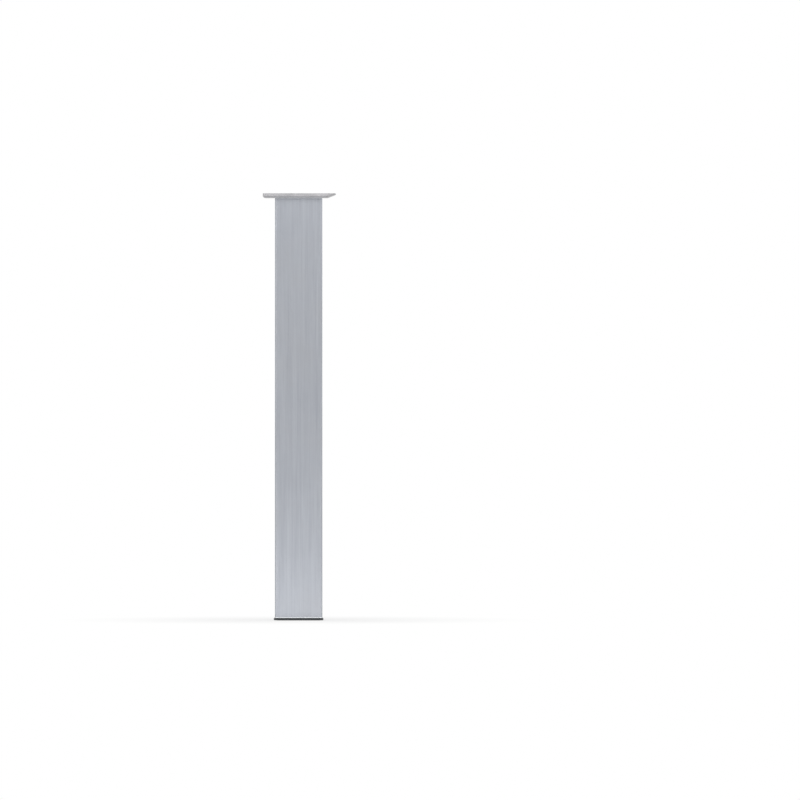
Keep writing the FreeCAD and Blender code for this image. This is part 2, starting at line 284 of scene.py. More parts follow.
def skin(tree, material, sockets, height, depth):
    """The surface itself: one Principled shader, with a relief whose height runs over depth in metres."""
    relief = add(tree, "ShaderNodeBump", {"Height": height, "Distance": depth, "Strength": 1.0})
    surface = add(tree, "ShaderNodeBsdfPrincipled", {**sockets, "Normal": relief})
    add(tree, "ShaderNodeOutputMaterial", {"Surface": surface})
    return material


print("a grain of 1 mm has scale", 1 / mm, "and noise lies mostly in", usual)

# %% [markdown]
# ## Brushed steel
# The tube is mild steel that was ground and then brushed along its length by an abrasive belt, and lacquered.
# The belt leaves fine upright hairlines, some longer and deeper than others. The lines blur a reflection
# sideways but hardly up and down, which is what anisotropy does. Real hairlines are some 0.1 mm wide, too
# fine to show from a few metres, so they are drawn about 1 mm wide here, with broader streaks under them. The
# sawn ends were broken on a fine wheel afterwards. The narrow, paler band round each end is a painted
# highlight: colour that stands in for the light which those broken edges catch.

# %% Brushed steel finish
highlight_band_reach = 1.7 * mm
highlight_band_full = 0.6 * highlight_band_reach


def brushed_steel():
    material, tree, place = finish_tree("brushed_lacquered_steel")
    hairline = grain(tree, place, (0.9 * mm, 0.9 * mm, 70 * mm), 4.0, 0.65)
    streak = grain(tree, place, (5 * mm, 5 * mm, 260 * mm), 2.0)
    handling = grain(tree, place, (60 * mm, 60 * mm, 90 * mm), 4.0)
    fine = add(tree, spread, (hairline, *usual))
    broad = add(tree, spread, (streak, *usual, 0.0, 0.45))
    lines = add(tree, maths, (fine, 0.55, broad), operation="MULTIPLY_ADD")
    metal = add(tree, mix, {0: lines, 6: "#92959C", 7: "#A3A6AC"}, data_type="RGBA")
    handled = layer(tree, metal, "#97989B", handling, 0.45, 0.75, 0.0, 0.35)
    height = add(tree, "ShaderNodeSeparateXYZ", (place,)).outputs["Z"]
    # A paler band round each end of the tube is a painted highlight, for the light that its broken edges
    # catch.
    highlight_above_foot = add(tree, spread, (height, tube_low.z + highlight_band_reach, tube_low.z + highlight_band_full))
    highlight_below_head = add(tree, spread, (height, tube_high.z - highlight_band_reach, tube_high.z - highlight_band_full))
    in_highlight_band = add(tree, maths, (highlight_above_foot, highlight_below_head), operation="MAXIMUM")
    end_highlight = add(tree, mix, {0: in_highlight_band, 6: handled, 7: "#DADCDF"}, data_type="RGBA")
    # The pale edge colour here is partly wear and partly a painted highlight on the tube's rounded edges.
    colour = worn_and_highlit_edges(tree, end_highlight, "#D6D8DB", 0.9 * mm, hairline)
    rough_touch = add(tree, spread, (handling, *usual, 0.33, 0.40))
    rough_line = add(tree, spread, (hairline, *usual, 0.0, 0.07))
    rough = add(tree, maths, (rough_touch, rough_line), operation="ADD")
    turn = add(tree, "ShaderNodeTangent", direction_type="RADIAL", axis="Z")
    sockets = {"Base Color": colour, "Metallic": 1.0, "Roughness": rough, "Anisotropic": 0.5, "Tangent": turn}
    return skin(tree, material, sockets, lines, 0.012 * mm)


brushed = brushed_steel()
print(brushed.name, len(brushed.node_tree.nodes), "nodes")

# %% [markdown]
# ## Die-cast zinc
# The plate is zinc, shot into a steel mould and plated with satin nickel. The casting skin is smooth but
# never quite flat, with a faint orange peel of a millimetre or so and broad flow marks. Plating is thinner on
# edges, where handling polishes it, so edges are lighter.

# %% Cast zinc finish
def cast_zinc():
    material, tree, place = finish_tree("satin_nickel_on_cast_zinc")
    peel = grain(tree, place, (1.1 * mm,) * 3, 3.0)
    flow = grain(tree, place, (26 * mm, 9 * mm, 9 * mm), 4.0)
    metal = layer(tree, "#98989A", "#A8A7A9", flow, 0.35, 0.7)
    colour = worn_and_highlit_edges(tree, metal, "#C6C6C8", 0.6 * mm, peel)
    rough_flow = add(tree, spread, (flow, *usual, 0.34, 0.44))
    rough_peel = add(tree, spread, (peel, *usual, 0.0, 0.06))
    rough = add(tree, maths, (rough_flow, rough_peel), operation="ADD")
    sockets = {"Base Color": colour, "Metallic": 1.0, "Roughness": rough}
    return skin(tree, material, sockets, peel, 0.02 * mm)


zinc = cast_zinc()
print(zinc.name, len(zinc.node_tree.nodes), "nodes")

# %% [markdown]
# ## Bright zinc plate
# The spindle, nut and washer are turned or stamped steel with a bright zinc plate. Its clear passivate has a
# faint blue and straw tint that drifts over the surface, and the tool marks of turning run round the axis, as
# rings of fine lines up the spindle.

# %% Zinc plated steel finish
def plated_steel():
    material, tree, place = finish_tree("bright_zinc_plated_steel")
    tooling = grain(tree, place, (30 * mm, 30 * mm, 0.25 * mm), 2.0)
    tint = grain(tree, place, (7 * mm,) * 3, 2.0)
    metal = layer(tree, "#A7AEB5", "#B5B2A6", tint, 0.35, 0.65)
    marked = layer(tree, metal, "#969CA2", tooling, 0.4, 0.7, 0.0, 0.4)
    colour = worn_and_highlit_edges(tree, marked, "#C9CCCE", 0.35 * mm, tint)
    rough = add(tree, spread, (tooling, *usual, 0.2, 0.34))
    sockets = {"Base Color": colour, "Metallic": 1.0, "Roughness": rough}
    return skin(tree, material, sockets, tooling, 0.01 * mm)


plated = plated_steel()
print(plated.name, len(plated.node_tree.nodes), "nodes")

# %% [markdown]
# ## Black oxide
# The set screws and the spring ring are hardened steel, blackened in a salt bath and oiled. The oxide is only
# a micron thick, so steel shows through on edges where a tool has turned in them, and the oil leaves patches
# that are shinier than others.

# %% Black oxide finish
def black_oxide():
    material, tree, place = finish_tree("black_oxide_steel")
    bloom = grain(tree, place, (2.2 * mm,) * 3, 4.0)
    grit = grain(tree, place, (0.3 * mm,) * 3, 2.0)
    oiled = layer(tree, "#2B2B2E", "#413F3F", bloom, 0.35, 0.7)
    colour = worn_and_highlit_edges(tree, oiled, "#77777A", 0.3 * mm, grit)
    rough = add(tree, spread, (bloom, *usual, 0.3, 0.48))
    sockets = {"Base Color": colour, "Metallic": 0.9, "Roughness": rough}
    return skin(tree, material, sockets, grit, 0.008 * mm)


oxide = black_oxide()
print(oxide.name, len(oxide.node_tree.nodes), "nodes")

# %% [markdown]
# ## Moulded nylon
# The foot and the plug are polyamide, coloured in the mass and moulded in a tool with a fine spark-eroded
# grain. It is a dark grey rather than a black, a little cool, with slightly paler scuffs along the edges that
# meet the floor and a shoe. The grain breaks every highlight into a soft sheen.

# %% Moulded nylon finish
def moulded_nylon():
    material, tree, place = finish_tree("black_polyamide")
    spark = grain(tree, place, (0.45 * mm,) * 3, 3.0)
    shade = grain(tree, place, (18 * mm,) * 3, 3.0)
    scuff = grain(tree, place, (6 * mm, 6 * mm, 1.2 * mm), 4.0)
    plastic = layer(tree, "#262A2D", "#303438", shade, *usual)
    speckled = layer(tree, plastic, "#3B3E40", spark, 0.5, 0.75, 0.0, 0.3)
    colour = worn_and_highlit_edges(tree, speckled, "#4E5254", 0.7 * mm, scuff)
    rough_shade = add(tree, spread, (shade, *usual, 0.42, 0.54))
    rough_spark = add(tree, spread, (spark, *usual, 0.0, 0.1))
    rough = add(tree, maths, (rough_shade, rough_spark), operation="ADD")
    sockets = {"Base Color": colour, "Roughness": rough, "IOR": 1.53}
    return skin(tree, material, sockets, spark, 0.03 * mm)


nylon = moulded_nylon()
print(nylon.name, len(nylon.node_tree.nodes), "nodes")

# %% [markdown]
# ## Rubber
# The pad under the foot is a soft black thermoplastic rubber. It is duller and browner than the nylon beside
# it, never shines, and holds a little pale dust in the low spots of its grain.

# %% Rubber finish
def pad_rubber():
    material, tree, place = finish_tree("thermoplastic_rubber")
    pores = grain(tree, place, (0.6 * mm,) * 3, 4.0)
    dust = grain(tree, place, (9 * mm,) * 3, 5.0)
    black = layer(tree, "#1C1B1B", "#282727", pores, *usual)
    dusty = layer(tree, black, "#4A4743", dust, 0.5, 0.8, 0.0, 0.45)
    # The paler edge colour on the pad is a painted highlight, standing in for the light that a rounded edge
    # would catch, since the pad's edges are left sharp.
    colour = worn_and_highlit_edges(tree, dusty, "#3A3938", 0.5 * mm, dust)
    rough = add(tree, spread, (pores, *usual, 0.78, 0.92))
    sockets = {"Base Color": colour, "Roughness": rough, "IOR": 1.5}
    return skin(tree, material, sockets, pores, 0.05 * mm)


rubber = pad_rubber()
print(rubber.name, len(rubber.node_tree.nodes), "nodes")

# %% [markdown]
# ## Turning a tree or a modifier into a plain mesh
# Each piece ends as a plain mesh at the origin, with nothing live on it. Big flat faces should look flat and
# small rounded edges smooth. So the sharp edges are marked by angle, and the Weighted Normal modifier lets
# the large faces set the direction of the light on them, while the narrow bevels take up the turn.

# %% Plain meshes
sharp_angle = 40
same_place = 0.001 * mm
same_plane = math.radians(0.2)


def mesh_copy(piece):
    """The piece as it looks with its modifiers: a plain mesh in one finish, its faces turned outward."""
    bpy.context.view_layer.update()
    mesh = bpy.data.meshes.new_from_object(piece.evaluated_get(bpy.context.evaluated_depsgraph_get()))
    finish = next(material for material in mesh.materials if material)
    mesh.materials.clear()
    mesh.materials.append(finish)
    work = bmesh.new()
    work.from_mesh(mesh)
    bmesh.ops.recalc_face_normals(work, faces=work.faces)
    for face in work.faces:
        face.material_index = 0
    work.to_mesh(mesh)
    work.free()
    return mesh


def smooth(mesh):
    """Smooth light over the mesh, broken at its sharp edges."""
    mesh.shade_smooth()
    mesh.set_sharp_from_angle(angle=math.radians(sharp_angle))


def clean_copy(node_name):
    """A CAD node's mesh as a new mesh, with its doubles merged and its flat triangles made whole faces."""
    work = bmesh.new()
    work.from_mesh(nodes[node_name].data)
    bmesh.ops.remove_doubles(work, verts=work.verts, dist=same_place)
    bmesh.ops.dissolve_limit(work, angle_limit=same_plane, verts=work.verts, edges=work.edges)
    mesh = bpy.data.meshes.new(node_name + "_dressed")
    work.to_mesh(mesh)
    work.free()
    smooth(mesh)
    return mesh


print("edges look sharp from", sharp_angle, "degrees, and points merge within", same_place / mm, "mm")

# %% [markdown]
# ## Dressing a piece
# A dressed piece stands where its construction nodes stood. It starts as an object with one mesh and one
# finish, and most pieces get their edges rounded. At the end it is told two things that the frame needs:
# which body it rides on, and which nodes it replaces.

# %% Dress a piece
rounded_angle = 30


def object_of(name, mesh, material):
    """A new object at the origin with that mesh and finish."""
    mesh.materials.clear()
    mesh.materials.append(material)
    piece = bpy.data.objects.new(name, mesh)
    bpy.context.scene.collection.objects.link(piece)
    return piece


def soften(piece, width, segments=3):
    """Rounds the piece's sharp edges by width, and evens out the light on its flat faces."""
    rounding = piece.modifiers.new("rounding", "BEVEL")
    rounding.width = width
    rounding.segments = segments
    rounding.limit_method = "ANGLE"
    rounding.angle_limit = math.radians(rounded_angle)
    rounding.miter_outer = "MITER_ARC"
    rounding.loop_slide = False
    even = piece.modifiers.new("even_light", "WEIGHTED_NORMAL")
    even.keep_sharp = True


def settle(piece, body, slot, *replaced):
    """Bakes the piece's modifiers into its mesh, gives it its body and hides the CAD nodes it replaces. The
    slot is not used.
    """
    baked = mesh_copy(piece)
    baked.name = piece.name
    piece.modifiers.clear()
    piece.data = baked
    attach(piece, body)
    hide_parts(*replaced)
    triangles = sum(len(face.vertices) - 2 for face in baked.polygons)
    print(piece.name, "on", body, "with", triangles, "triangles")


print("edges are rounded from", rounded_angle, "degrees")

# %% [markdown]
# ## A tree of nodes as a tool
# Whatever follows a rule is made by Geometry Nodes: the swept tube, the threads, the grooves and the places
# of the screws. Each tree is a small machine with named inputs for its sizes, so the same tree serves pieces
# of different sizes. An input of the modifier is set by the identifier of its socket, because two inputs
# might share a name.

# %% Helpers for geometry trees
def geometry_tree(name, inputs, takes_geometry=False):
    """A new tree whose number inputs are named in one line, and the outputs that hold what comes in."""
    tree = bpy.data.node_groups.new(name, "GeometryNodeTree")
    tree.interface.new_socket("Geometry", in_out="OUTPUT", socket_type="NodeSocketGeometry")
    if takes_geometry:
        tree.interface.new_socket("Geometry", in_out="INPUT", socket_type="NodeSocketGeometry")
    for label in inputs.split(", "):
        tree.interface.new_socket(label, in_out="INPUT", socket_type="NodeSocketFloat")
    tree.interface.new_socket("Material", in_out="INPUT", socket_type="NodeSocketMaterial")
    return tree, tree.nodes.new("NodeGroupInput").outputs


def close_tree(tree, geometry, material):
    """Ends a tree in real geometry with its finish on it."""
    real = add(tree, "GeometryNodeRealizeInstances", {"Geometry": geometry})
    painted = add(tree, "GeometryNodeSetMaterial", {"Geometry": real, "Material": material})
    add(tree, "NodeGroupOutput", {"Geometry": painted})


def grow(piece, tree, values):
    """Puts the tree on the piece with the given values for its inputs."""
    modifier = piece.modifiers.new(tree.name, "NODES")
    modifier.node_group = tree
    for item in tree.interface.items_tree:
        if item.in_out == "INPUT" and item.name in values:
            modifier[item.identifier] = values[item.name]


print("a tree's inputs are set by identifier, such as Socket_2")

# %% [markdown]
# ## The ejector pins' marks
# Pins push a casting out of its mould, and each leaves a round mark where it pushed. The plate has twelve:
# one in each well over the spigot, and two in the pockets along each side. The tree makes rows of two points,
# puts a low disc on every point, half sunk in the floor, and joins the discs to the plate that comes in.

# %% The tree for the pins' marks
def pin_marks_tree():
    tree, given = geometry_tree("pin_marks", "Spacing, Near, Far, Floor, Radius, Height", takes_geometry=True)
    half = add(tree, maths, (given["Spacing"], 0.5), operation="MULTIPLY")
    less = add(tree, maths, (half, -1.0), operation="MULTIPLY")
    rows = [("X", "Y", place) for place in (given["Near"], less, half, given["Far"])]
    rows += [("Y", "X", place) for place in (given["Near"], given["Far"])]
    lines = []
    for along, across, place in rows:
        start = add(tree, "ShaderNodeCombineXYZ", {along: less, across: place, "Z": given["Floor"]})
        step = add(tree, "ShaderNodeCombineXYZ", {along: given["Spacing"]})
        pair = {"Count": 2, "Start Location": start, "Offset": step}
        lines.append(add(tree, "GeometryNodeMeshLine", pair))
    points = add(tree, "GeometryNodeJoinGeometry", (lines,))
    depth = add(tree, maths, (given["Height"], 2.0), operation="MULTIPLY")
    sizes = {"Vertices": 32, "Radius": given["Radius"], "Depth": depth}
    disc = add(tree, "GeometryNodeMeshCylinder", sizes)
    marks = add(tree, "GeometryNodeInstanceOnPoints", {"Points": points, "Instance": disc})
    joined = add(tree, "GeometryNodeJoinGeometry", ([given["Geometry"], marks],))
    close_tree(tree, joined, given["Material"])
    return tree


pin_marks = pin_marks_tree()
pin_sizes = {"Spacing": 36.0 * mm, "Near": -47.8 * mm, "Far": 43.9 * mm, "Floor": cad_high.z - 3.9 * mm,
             "Radius": 2.5 * mm, "Height": 0.15 * mm, "Material": zinc}
print(pin_marks.name, len(pin_marks.nodes), "nodes")

# %% [markdown]
# ## The pieces that keep their construction shape
# The plate, the foot, the plug, the washer and the spring ring are already modelled to their last rib. What
# they lack is what a mould or a press leaves on every edge: a small radius that catches the light. So each is
# copied, cleaned and given one, as wide as its process leaves it.

# %% Moulded, cast and stamped pieces
shape_kept = {
    "mounting_plate": ("leg", "cast_zinc", zinc, 0.35 * mm),
    "foot_plug": ("leg", "black_nylon", nylon, 0.15 * mm),
    "foot_base": ("foot", "black_nylon", nylon, 0.4 * mm),
    "thrust_washer": ("foot", "plated_steel", plated, 0.12 * mm),
    "retaining_ring": ("spindle", "black_steel", oxide, 0.12 * mm),
}
for node_name, (body, slot, material, radius) in shape_kept.items():
    piece = object_of(node_name + "_dressed", clean_copy(node_name), material)
    soften(piece, radius)
    if node_name == "mounting_plate":
        grow(piece, pin_marks, pin_sizes)
    settle(piece, body, slot, node_name)

# %% [markdown]
# ## The tube
# A welded square tube is a flat strip bent round four corners, so it is one wall section carried round a
# rounded square. Curve to Mesh does just that: the square, with its corners filleted, is the path, and the
# upright section of the wall is the profile. The profile's own corners are filleted too, which is how a
# deburring wheel leaves the sawn ends. The path is the tube's outer face, so the section lies inside it.

# %% The tube's tree
def tube_tree():
    tree, given = geometry_tree("swept_tube", "Width, Wall, Corner, Foot, Head, Edge")
    width = given["Width"]
    square = add(tree, "GeometryNodeCurvePrimitiveQuadrilateral", {"Width": width, "Height": width})
    bend = {"Curve": square, "Count": 12, "Radius": given["Corner"]}
    path = add(tree, "GeometryNodeFilletCurve", bend, mode="POLY")
    upright = add(tree, "GeometryNodeSetCurveNormal", {"Curve": path}, mode="Z_UP")
    length = add(tree, maths, (given["Head"], given["Foot"]), operation="SUBTRACT")
    wall = {"Width": given["Wall"], "Height": length}
    section = add(tree, "GeometryNodeCurvePrimitiveQuadrilateral", wall)
    edge = {"Curve": section, "Count": 4, "Radius": given["Edge"]}
    rounded = add(tree, "GeometryNodeFilletCurve", edge, mode="POLY")
    inward = add(tree, maths, (given["Wall"], -0.5), operation="MULTIPLY")
    ends = add(tree, maths, (given["Head"], given["Foot"]), operation="ADD")
    middle = add(tree, maths, (ends, -0.5), operation="MULTIPLY")
    place = add(tree, "ShaderNodeCombineXYZ", {"X": inward, "Y": middle})
    profile = add(tree, "GeometryNodeTransform", {"Geometry": rounded, "Translation": place})
    swept = add(tree, "GeometryNodeCurveToMesh", {"Curve": upright, "Profile Curve": profile})
    close_tree(tree, swept, given["Material"])
    return tree


swept_tube = tube_tree()
print(swept_tube.name, len(swept_tube.nodes), "nodes")

# %% [markdown]
# ## The four screw places
# Two set screws sit on the rear wall and two on the right-hand wall, all at one height. Their places are read
# from the frame. One tree puts whatever it is given at all four: a pair of points on the rear wall, and the
# same pair turned by a quarter to the right-hand wall. It is used twice, for the holes and for the screws.

# %% The tree for the screw places
screw_low, screw_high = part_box("clamp_screw_rear_2")
screw_offset = (screw_low.x + screw_high.x) / 2
screw_level = (screw_low.z + screw_high.z) / 2
screw_radius = (screw_high.x - screw_low.x) / 2
screw_mouth = screw_high.y
screw_length = screw_high.y - screw_low.y


def screw_places_tree():
    tree, given = geometry_tree("at_screw_places", "Offset, Reach, Level", takes_geometry=True)
    left = add(tree, maths, (given["Offset"], -1.0), operation="MULTIPLY")
    apart = add(tree, maths, (given["Offset"], 2.0), operation="MULTIPLY")
    start = add(tree, "ShaderNodeCombineXYZ", (left, given["Reach"], given["Level"]))
    step = add(tree, "ShaderNodeCombineXYZ", (apart,))
    pair = add(tree, "GeometryNodeMeshLine", {"Count": 2, "Start Location": start, "Offset": step})
    rear = add(tree, "GeometryNodeInstanceOnPoints", {"Points": pair, "Instance": given["Geometry"]})
    turn = (0.0, 0.0, math.radians(-90))
    side = add(tree, "GeometryNodeTransform", {"Geometry": rear, "Rotation": turn})
    all_four = add(tree, "GeometryNodeJoinGeometry", ([rear, side],))
    close_tree(tree, all_four, given["Material"])
    return tree


at_screw_places = screw_places_tree()
print("screws at offset", round(screw_offset / mm, 2), "mm, level", round(screw_level / mm, 2), "mm")

# %% [markdown]
# ## Rings of points
# Turned and drilled pieces are skins between rings of points, all with the same number of points round the
# axis. A circle and a hexagon can share that number, so a round mouth runs cleanly into a hexagonal socket,
# and a cone cuts a hexagon in the curved edges that a real nut has.

# %% Helpers for rings
ring_steps = 48
ring_angles = [2 * math.pi * step / ring_steps for step in range(ring_steps)]
side_angle = math.radians(60)
chamfer_rise = math.tan(math.radians(30))


def circle(radius, height):
    return [Vector((radius * math.cos(a), radius * math.sin(a), height)) for a in ring_angles]


def hexagon_radius(across_flats, angle):
    """How far a hexagon reaches from its centre in one direction."""
    return across_flats / 2 / math.cos((angle % side_angle) - side_angle / 2)


def hexagon(across_flats, height, chamfer_radius=None, rise=0.0):
    """A hexagonal ring. Where it lies outside the chamfer's radius, a cone of that rise moves it."""
    ring = []
    for angle in ring_angles:
        radius = hexagon_radius(across_flats, angle)
        outside = 0.0 if chamfer_radius is None else max(0.0, radius - chamfer_radius)
        ring.append(Vector((radius * math.cos(angle), radius * math.sin(angle), height + rise * outside)))
    return ring


def skin_rings(name, chains):
    """A mesh of one or more chains of rings. A chain is closed where it starts or ends in one point."""
    work = bmesh.new()
    for chain in chains:
        loops = [[work.verts.new(point) for point in ring] for ring in chain]
        for lower, upper in zip(loops, loops[1:]):
            for step in range(ring_steps):
                after = (step + 1) % ring_steps
                corners = [lower[step % len(lower)], lower[after % len(lower)],
                           upper[after % len(upper)], upper[step % len(upper)]]
                work.faces.new(list(dict.fromkeys(corners)))
    bmesh.ops.remove_doubles(work, verts=work.verts, dist=same_place)
    bmesh.ops.recalc_face_normals(work, faces=work.faces)
    mesh = bpy.data.meshes.new(name)
    work.to_mesh(mesh)
    work.free()
    return mesh


print("one ring has", ring_steps, "points")

# %% Key sockets
mouth_share = 1.06
drill_share = 0.42
broach_stop = 0.8 * mm
drill_cone = 0.6 * mm


def hexagon_socket(across_flats, depth, mouth, inward):
    """The rings of a key socket from its mouth to its drilled floor. Inward is 1 for up, -1 for down."""
    mouth_radius = across_flats / math.sqrt(3) * mouth_share
    cone_end = mouth + inward * chamfer_rise * (mouth_radius - across_flats / 2)
    floor = mouth + inward * depth
    return [circle(mouth_radius, mouth),
            hexagon(across_flats, cone_end, across_flats / 2, -inward * chamfer_rise),
            hexagon(across_flats, floor - inward * broach_stop),
            circle(drill_share * across_flats, floor - inward * drill_cone),
            [Vector((0, 0, floor))]]


print("a socket's mouth reaches", mouth_share, "times as far as its corners")

# %% [markdown]
# ## Threads
# A thread is a flat strip wrapped up a helix. The tree starts from a grid. One side of the grid runs along
# the helix and the other across one pitch, where it rises from the core to the crest and falls again. Near
# both ends the crest fades into the core, as a thread that is rolled or cut does. The height of a point also
# fixes its turn, so the nut's thread and the spindle's lie in step wherever each begins.

# %% The thread's strip
steps_across = 16
spare_turns = 3


def thread_strip(tree, low, high, pitch):
    """The grid for a thread, and for each of its points the turns along, the share of a pitch, the height."""
    span = add(tree, maths, (high, low), operation="SUBTRACT")
    pitches = add(tree, maths, (span, pitch), operation="DIVIDE")
    whole = add(tree, maths, (pitches,), operation="CEIL")
    turns = add(tree, maths, (whole, spare_turns), operation="ADD")
    steps = add(tree, maths, (turns, ring_steps, 1.0), operation="MULTIPLY_ADD")
    strip = {"Size X": 1.0, "Size Y": 1.0, "Vertices X": steps, "Vertices Y": steps_across + 1}
    grid = add(tree, "GeometryNodeMeshGrid", strip)
    position = add(tree, "GeometryNodeInputPosition")
    place = add(tree, "ShaderNodeSeparateXYZ", (position,))
    forward = add(tree, maths, (place.outputs["X"], 0.5), operation="ADD")
    along = add(tree, maths, (forward, turns), operation="MULTIPLY")
    share = add(tree, maths, (place.outputs["Y"], 0.5), operation="ADD")
    below = add(tree, maths, (low, pitch), operation="DIVIDE")
    below_whole = add(tree, maths, (below,), operation="FLOOR")
    first = add(tree, maths, (below_whole, spare_turns - 1), operation="SUBTRACT")
    climbed = add(tree, maths, (along, share), operation="ADD")
    pitches_up = add(tree, maths, (climbed, first), operation="ADD")
    height = add(tree, maths, (pitches_up, pitch), operation="MULTIPLY")
    return grid, along, share, height


print("a strip has", steps_across, "steps across a pitch and", spare_turns, "turns to spare")

# %% The thread's form
root_end = 0.25
crest_start = 0.875


def thread_rise(tree, low, high, fade, share, height):
    """How far a point rises from the core: by its share of a pitch, and less near both ends."""
    aside = add(tree, maths, (share, 2.0, -1.0), operation="MULTIPLY_ADD")
    from_middle = add(tree, maths, (aside,), operation="ABSOLUTE")
    from_root = add(tree, maths, (1.0, from_middle), operation="SUBTRACT")
    shape = add(tree, spread, (from_root, root_end, crest_start))
    over_low = add(tree, maths, (height, low), operation="SUBTRACT")
    over_low = add(tree, maths, (over_low, fade), operation="DIVIDE")
    under_high = add(tree, maths, (high, height), operation="SUBTRACT")
    under_high = add(tree, maths, (under_high, fade), operation="DIVIDE")
    started, ended = (add(tree, spread, (value, 0.0, 1.0)) for value in (over_low, under_high))
    cut = add(tree, maths, (started, ended), operation="MULTIPLY")
    return add(tree, maths, (shape, cut), operation="MULTIPLY")


print("the flank climbs from", root_end, "to", crest_start, "of the way to the middle of a pitch")

# %% The thread's tree
def thread_tree():
    tree, given = geometry_tree("thread", "Core Radius, Depth, Pitch, Low, High, Fade", takes_geometry=True)
    low, high, pitch, fade = (given[name] for name in ("Low", "High", "Pitch", "Fade"))
    grid, along, share, height = thread_strip(tree, low, high, pitch)
    rise = thread_rise(tree, low, high, fade, share, height)
    radius = add(tree, maths, (given["Depth"], rise, given["Core Radius"]), operation="MULTIPLY_ADD")
    angle = add(tree, maths, (along, 2 * math.pi), operation="MULTIPLY")
    across_axis, over_axis = (add(tree, maths, (angle,), operation=wave) for wave in ("COSINE", "SINE"))
    x = add(tree, maths, (radius, across_axis), operation="MULTIPLY")
    y = add(tree, maths, (radius, over_axis), operation="MULTIPLY")
    above_low = add(tree, maths, (height, low), operation="MAXIMUM")
    level = add(tree, maths, (above_low, high), operation="MINIMUM")
    wrapped = add(tree, "ShaderNodeCombineXYZ", (x, y, level))
    coiled = add(tree, "GeometryNodeSetPosition", {"Geometry": grid, "Position": wrapped})
    both = add(tree, "GeometryNodeJoinGeometry", ([given["Geometry"], coiled],))
    joined = add(tree, "GeometryNodeMergeByDistance", {"Geometry": both, "Distance": 2 * same_place})
    close_tree(tree, joined, given["Material"])
    return tree


thread = thread_tree()
print(thread.name, len(thread.nodes), "nodes")

# %% [markdown]
# ## Making the tube
# The tube is grown from an empty mesh by its tree. Its four holes are cut with a Boolean modifier. The cutter
# is a drill of 48 sides, put at the four places by the tree above, and deleted once the holes are in.

# %% Tube with its holes
tube_wall = 1.5 * mm
tube_corner = 3.0 * mm
tube_edge = 0.6 * mm
screw_hole_gap = 0.35 * mm

tube = object_of("leg_tube_dressed", bpy.data.meshes.new("leg_tube_dressed"), brushed)
grow(tube, swept_tube, {"Width": tube_high.x - tube_low.x, "Wall": tube_wall, "Corner": tube_corner,
     "Foot": tube_low.z, "Head": tube_high.z, "Edge": tube_edge, "Material": brushed})

quarter = Matrix.Rotation(math.radians(-90), 4, "X")
drill_reach = 4 * tube_wall
drill_radius = screw_radius + screw_hole_gap
drill_mesh = skin_rings("drill", [[[Vector((0, 0, -drill_reach))], circle(drill_radius, -drill_reach),
                                   circle(drill_radius, drill_reach), [Vector((0, 0, drill_reach))]]])
drill_mesh.transform(quarter)
drill = object_of("drill", drill_mesh, brushed)
grow(drill, at_screw_places, {"Offset": screw_offset, "Reach": tube_high.y, "Level": screw_level,
     "Material": brushed})
drilled = tube.modifiers.new("holes", "BOOLEAN")
drilled.operation = "DIFFERENCE"
drilled.object = drill
drilled.solver = "EXACT"
soften(tube, 0.2 * mm, 2)
tube.data = mesh_copy(tube)
tube.modifiers.clear()
bpy.data.objects.remove(drill)
smooth(tube.data)
settle(tube, "leg", "brushed_tube", "leg_tube")

# %% [markdown]
# ## The set screws
# A set screw is a threaded rod with a hexagon socket and no head. One is made lying at the origin with its
# mouth at nought: the socket with its countersunk mouth, the point with its chamfer, and the thread between
# them. Then the tree puts it at the four places, sunk a little below the tube's face.

# %% Set screws
m8_pitch = 1.25 * mm
m8_depth = 0.7 * mm
m8_socket = 4.0 * mm
m8_socket_depth = 5.0 * mm
m8_core = screw_radius - m8_depth
m8_point = 0.5 * mm
m8_low = m8_point - screw_length
m8_high = -0.3 * mm
m8_mouth = m8_core - 0.25 * mm


def set_screw_mesh():
    upper = [circle(m8_core, m8_high), circle(m8_mouth, 0.0)]
    upper += hexagon_socket(m8_socket, m8_socket_depth, 0.0, -1)
    point = [[Vector((0, 0, -screw_length))],
             circle(m8_core - m8_point, -screw_length),
             circle(m8_core, m8_low)]
    return skin_rings("set_screw", [upper, point])


set_screws = object_of("clamp_screws_dressed", set_screw_mesh(), oxide)
grow(set_screws, thread, {"Core Radius": m8_core, "Depth": m8_depth, "Pitch": m8_pitch, "Low": m8_low,
     "High": m8_high, "Fade": m8_pitch, "Material": oxide})
set_screws.data = mesh_copy(set_screws)
set_screws.modifiers.clear()
set_screws.data.transform(quarter)
smooth(set_screws.data)
grow(set_screws, at_screw_places, {"Offset": screw_offset, "Reach": screw_mouth, "Level": screw_level,
     "Material": oxide})
settle(set_screws, "leg", "black_steel", "clamp_screw_rear_1", "clamp_screw_rear_2", "clamp_screw_side_1",
       "clamp_screw_side_2")

# %% [markdown]
# ## The spindle
# The spindle is turned from 18 mm bar: a journal with a groove for the spring ring, a collar that the leg's
# weight rests on, a short neck where the die ran out, and the M10 thread with a chamfered tip. A key turns it
# from below, so its socket opens downward.

# %% Spindle sizes
m10_pitch = 1.5 * mm
m10_depth = 0.92 * mm
spindle_low, spindle_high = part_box("foot_spindle")
ring_low, ring_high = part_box("retaining_ring")
m10_radius = 5.0 * mm
m10_core = m10_radius - m10_depth
collar_radius = spindle_high.x
collar_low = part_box("thrust_washer")[1].z
collar_high = collar_low + 3.5 * mm
collar_edge = 0.35 * mm
groove_radius = 4.6 * mm
groove_play = 0.05 * mm
neck_length = 2.0 * mm
neck_radius = m10_core - 0.15 * mm
neck_round = 0.35 * mm
tip_chamfer = 0.2 * mm
journal_chamfer = 0.4 * mm
groove_edge = 0.1 * mm
spindle_socket = 5.0 * mm
spindle_socket_depth = 8.0 * mm
thread_start = collar_high + neck_length
thread_end = spindle_high.z - tip_chamfer
groove_low = ring_low.z - groove_play
groove_high = ring_high.z + groove_play
print("spindle's thread", round((thread_end - thread_start) / mm, 1), "mm long")

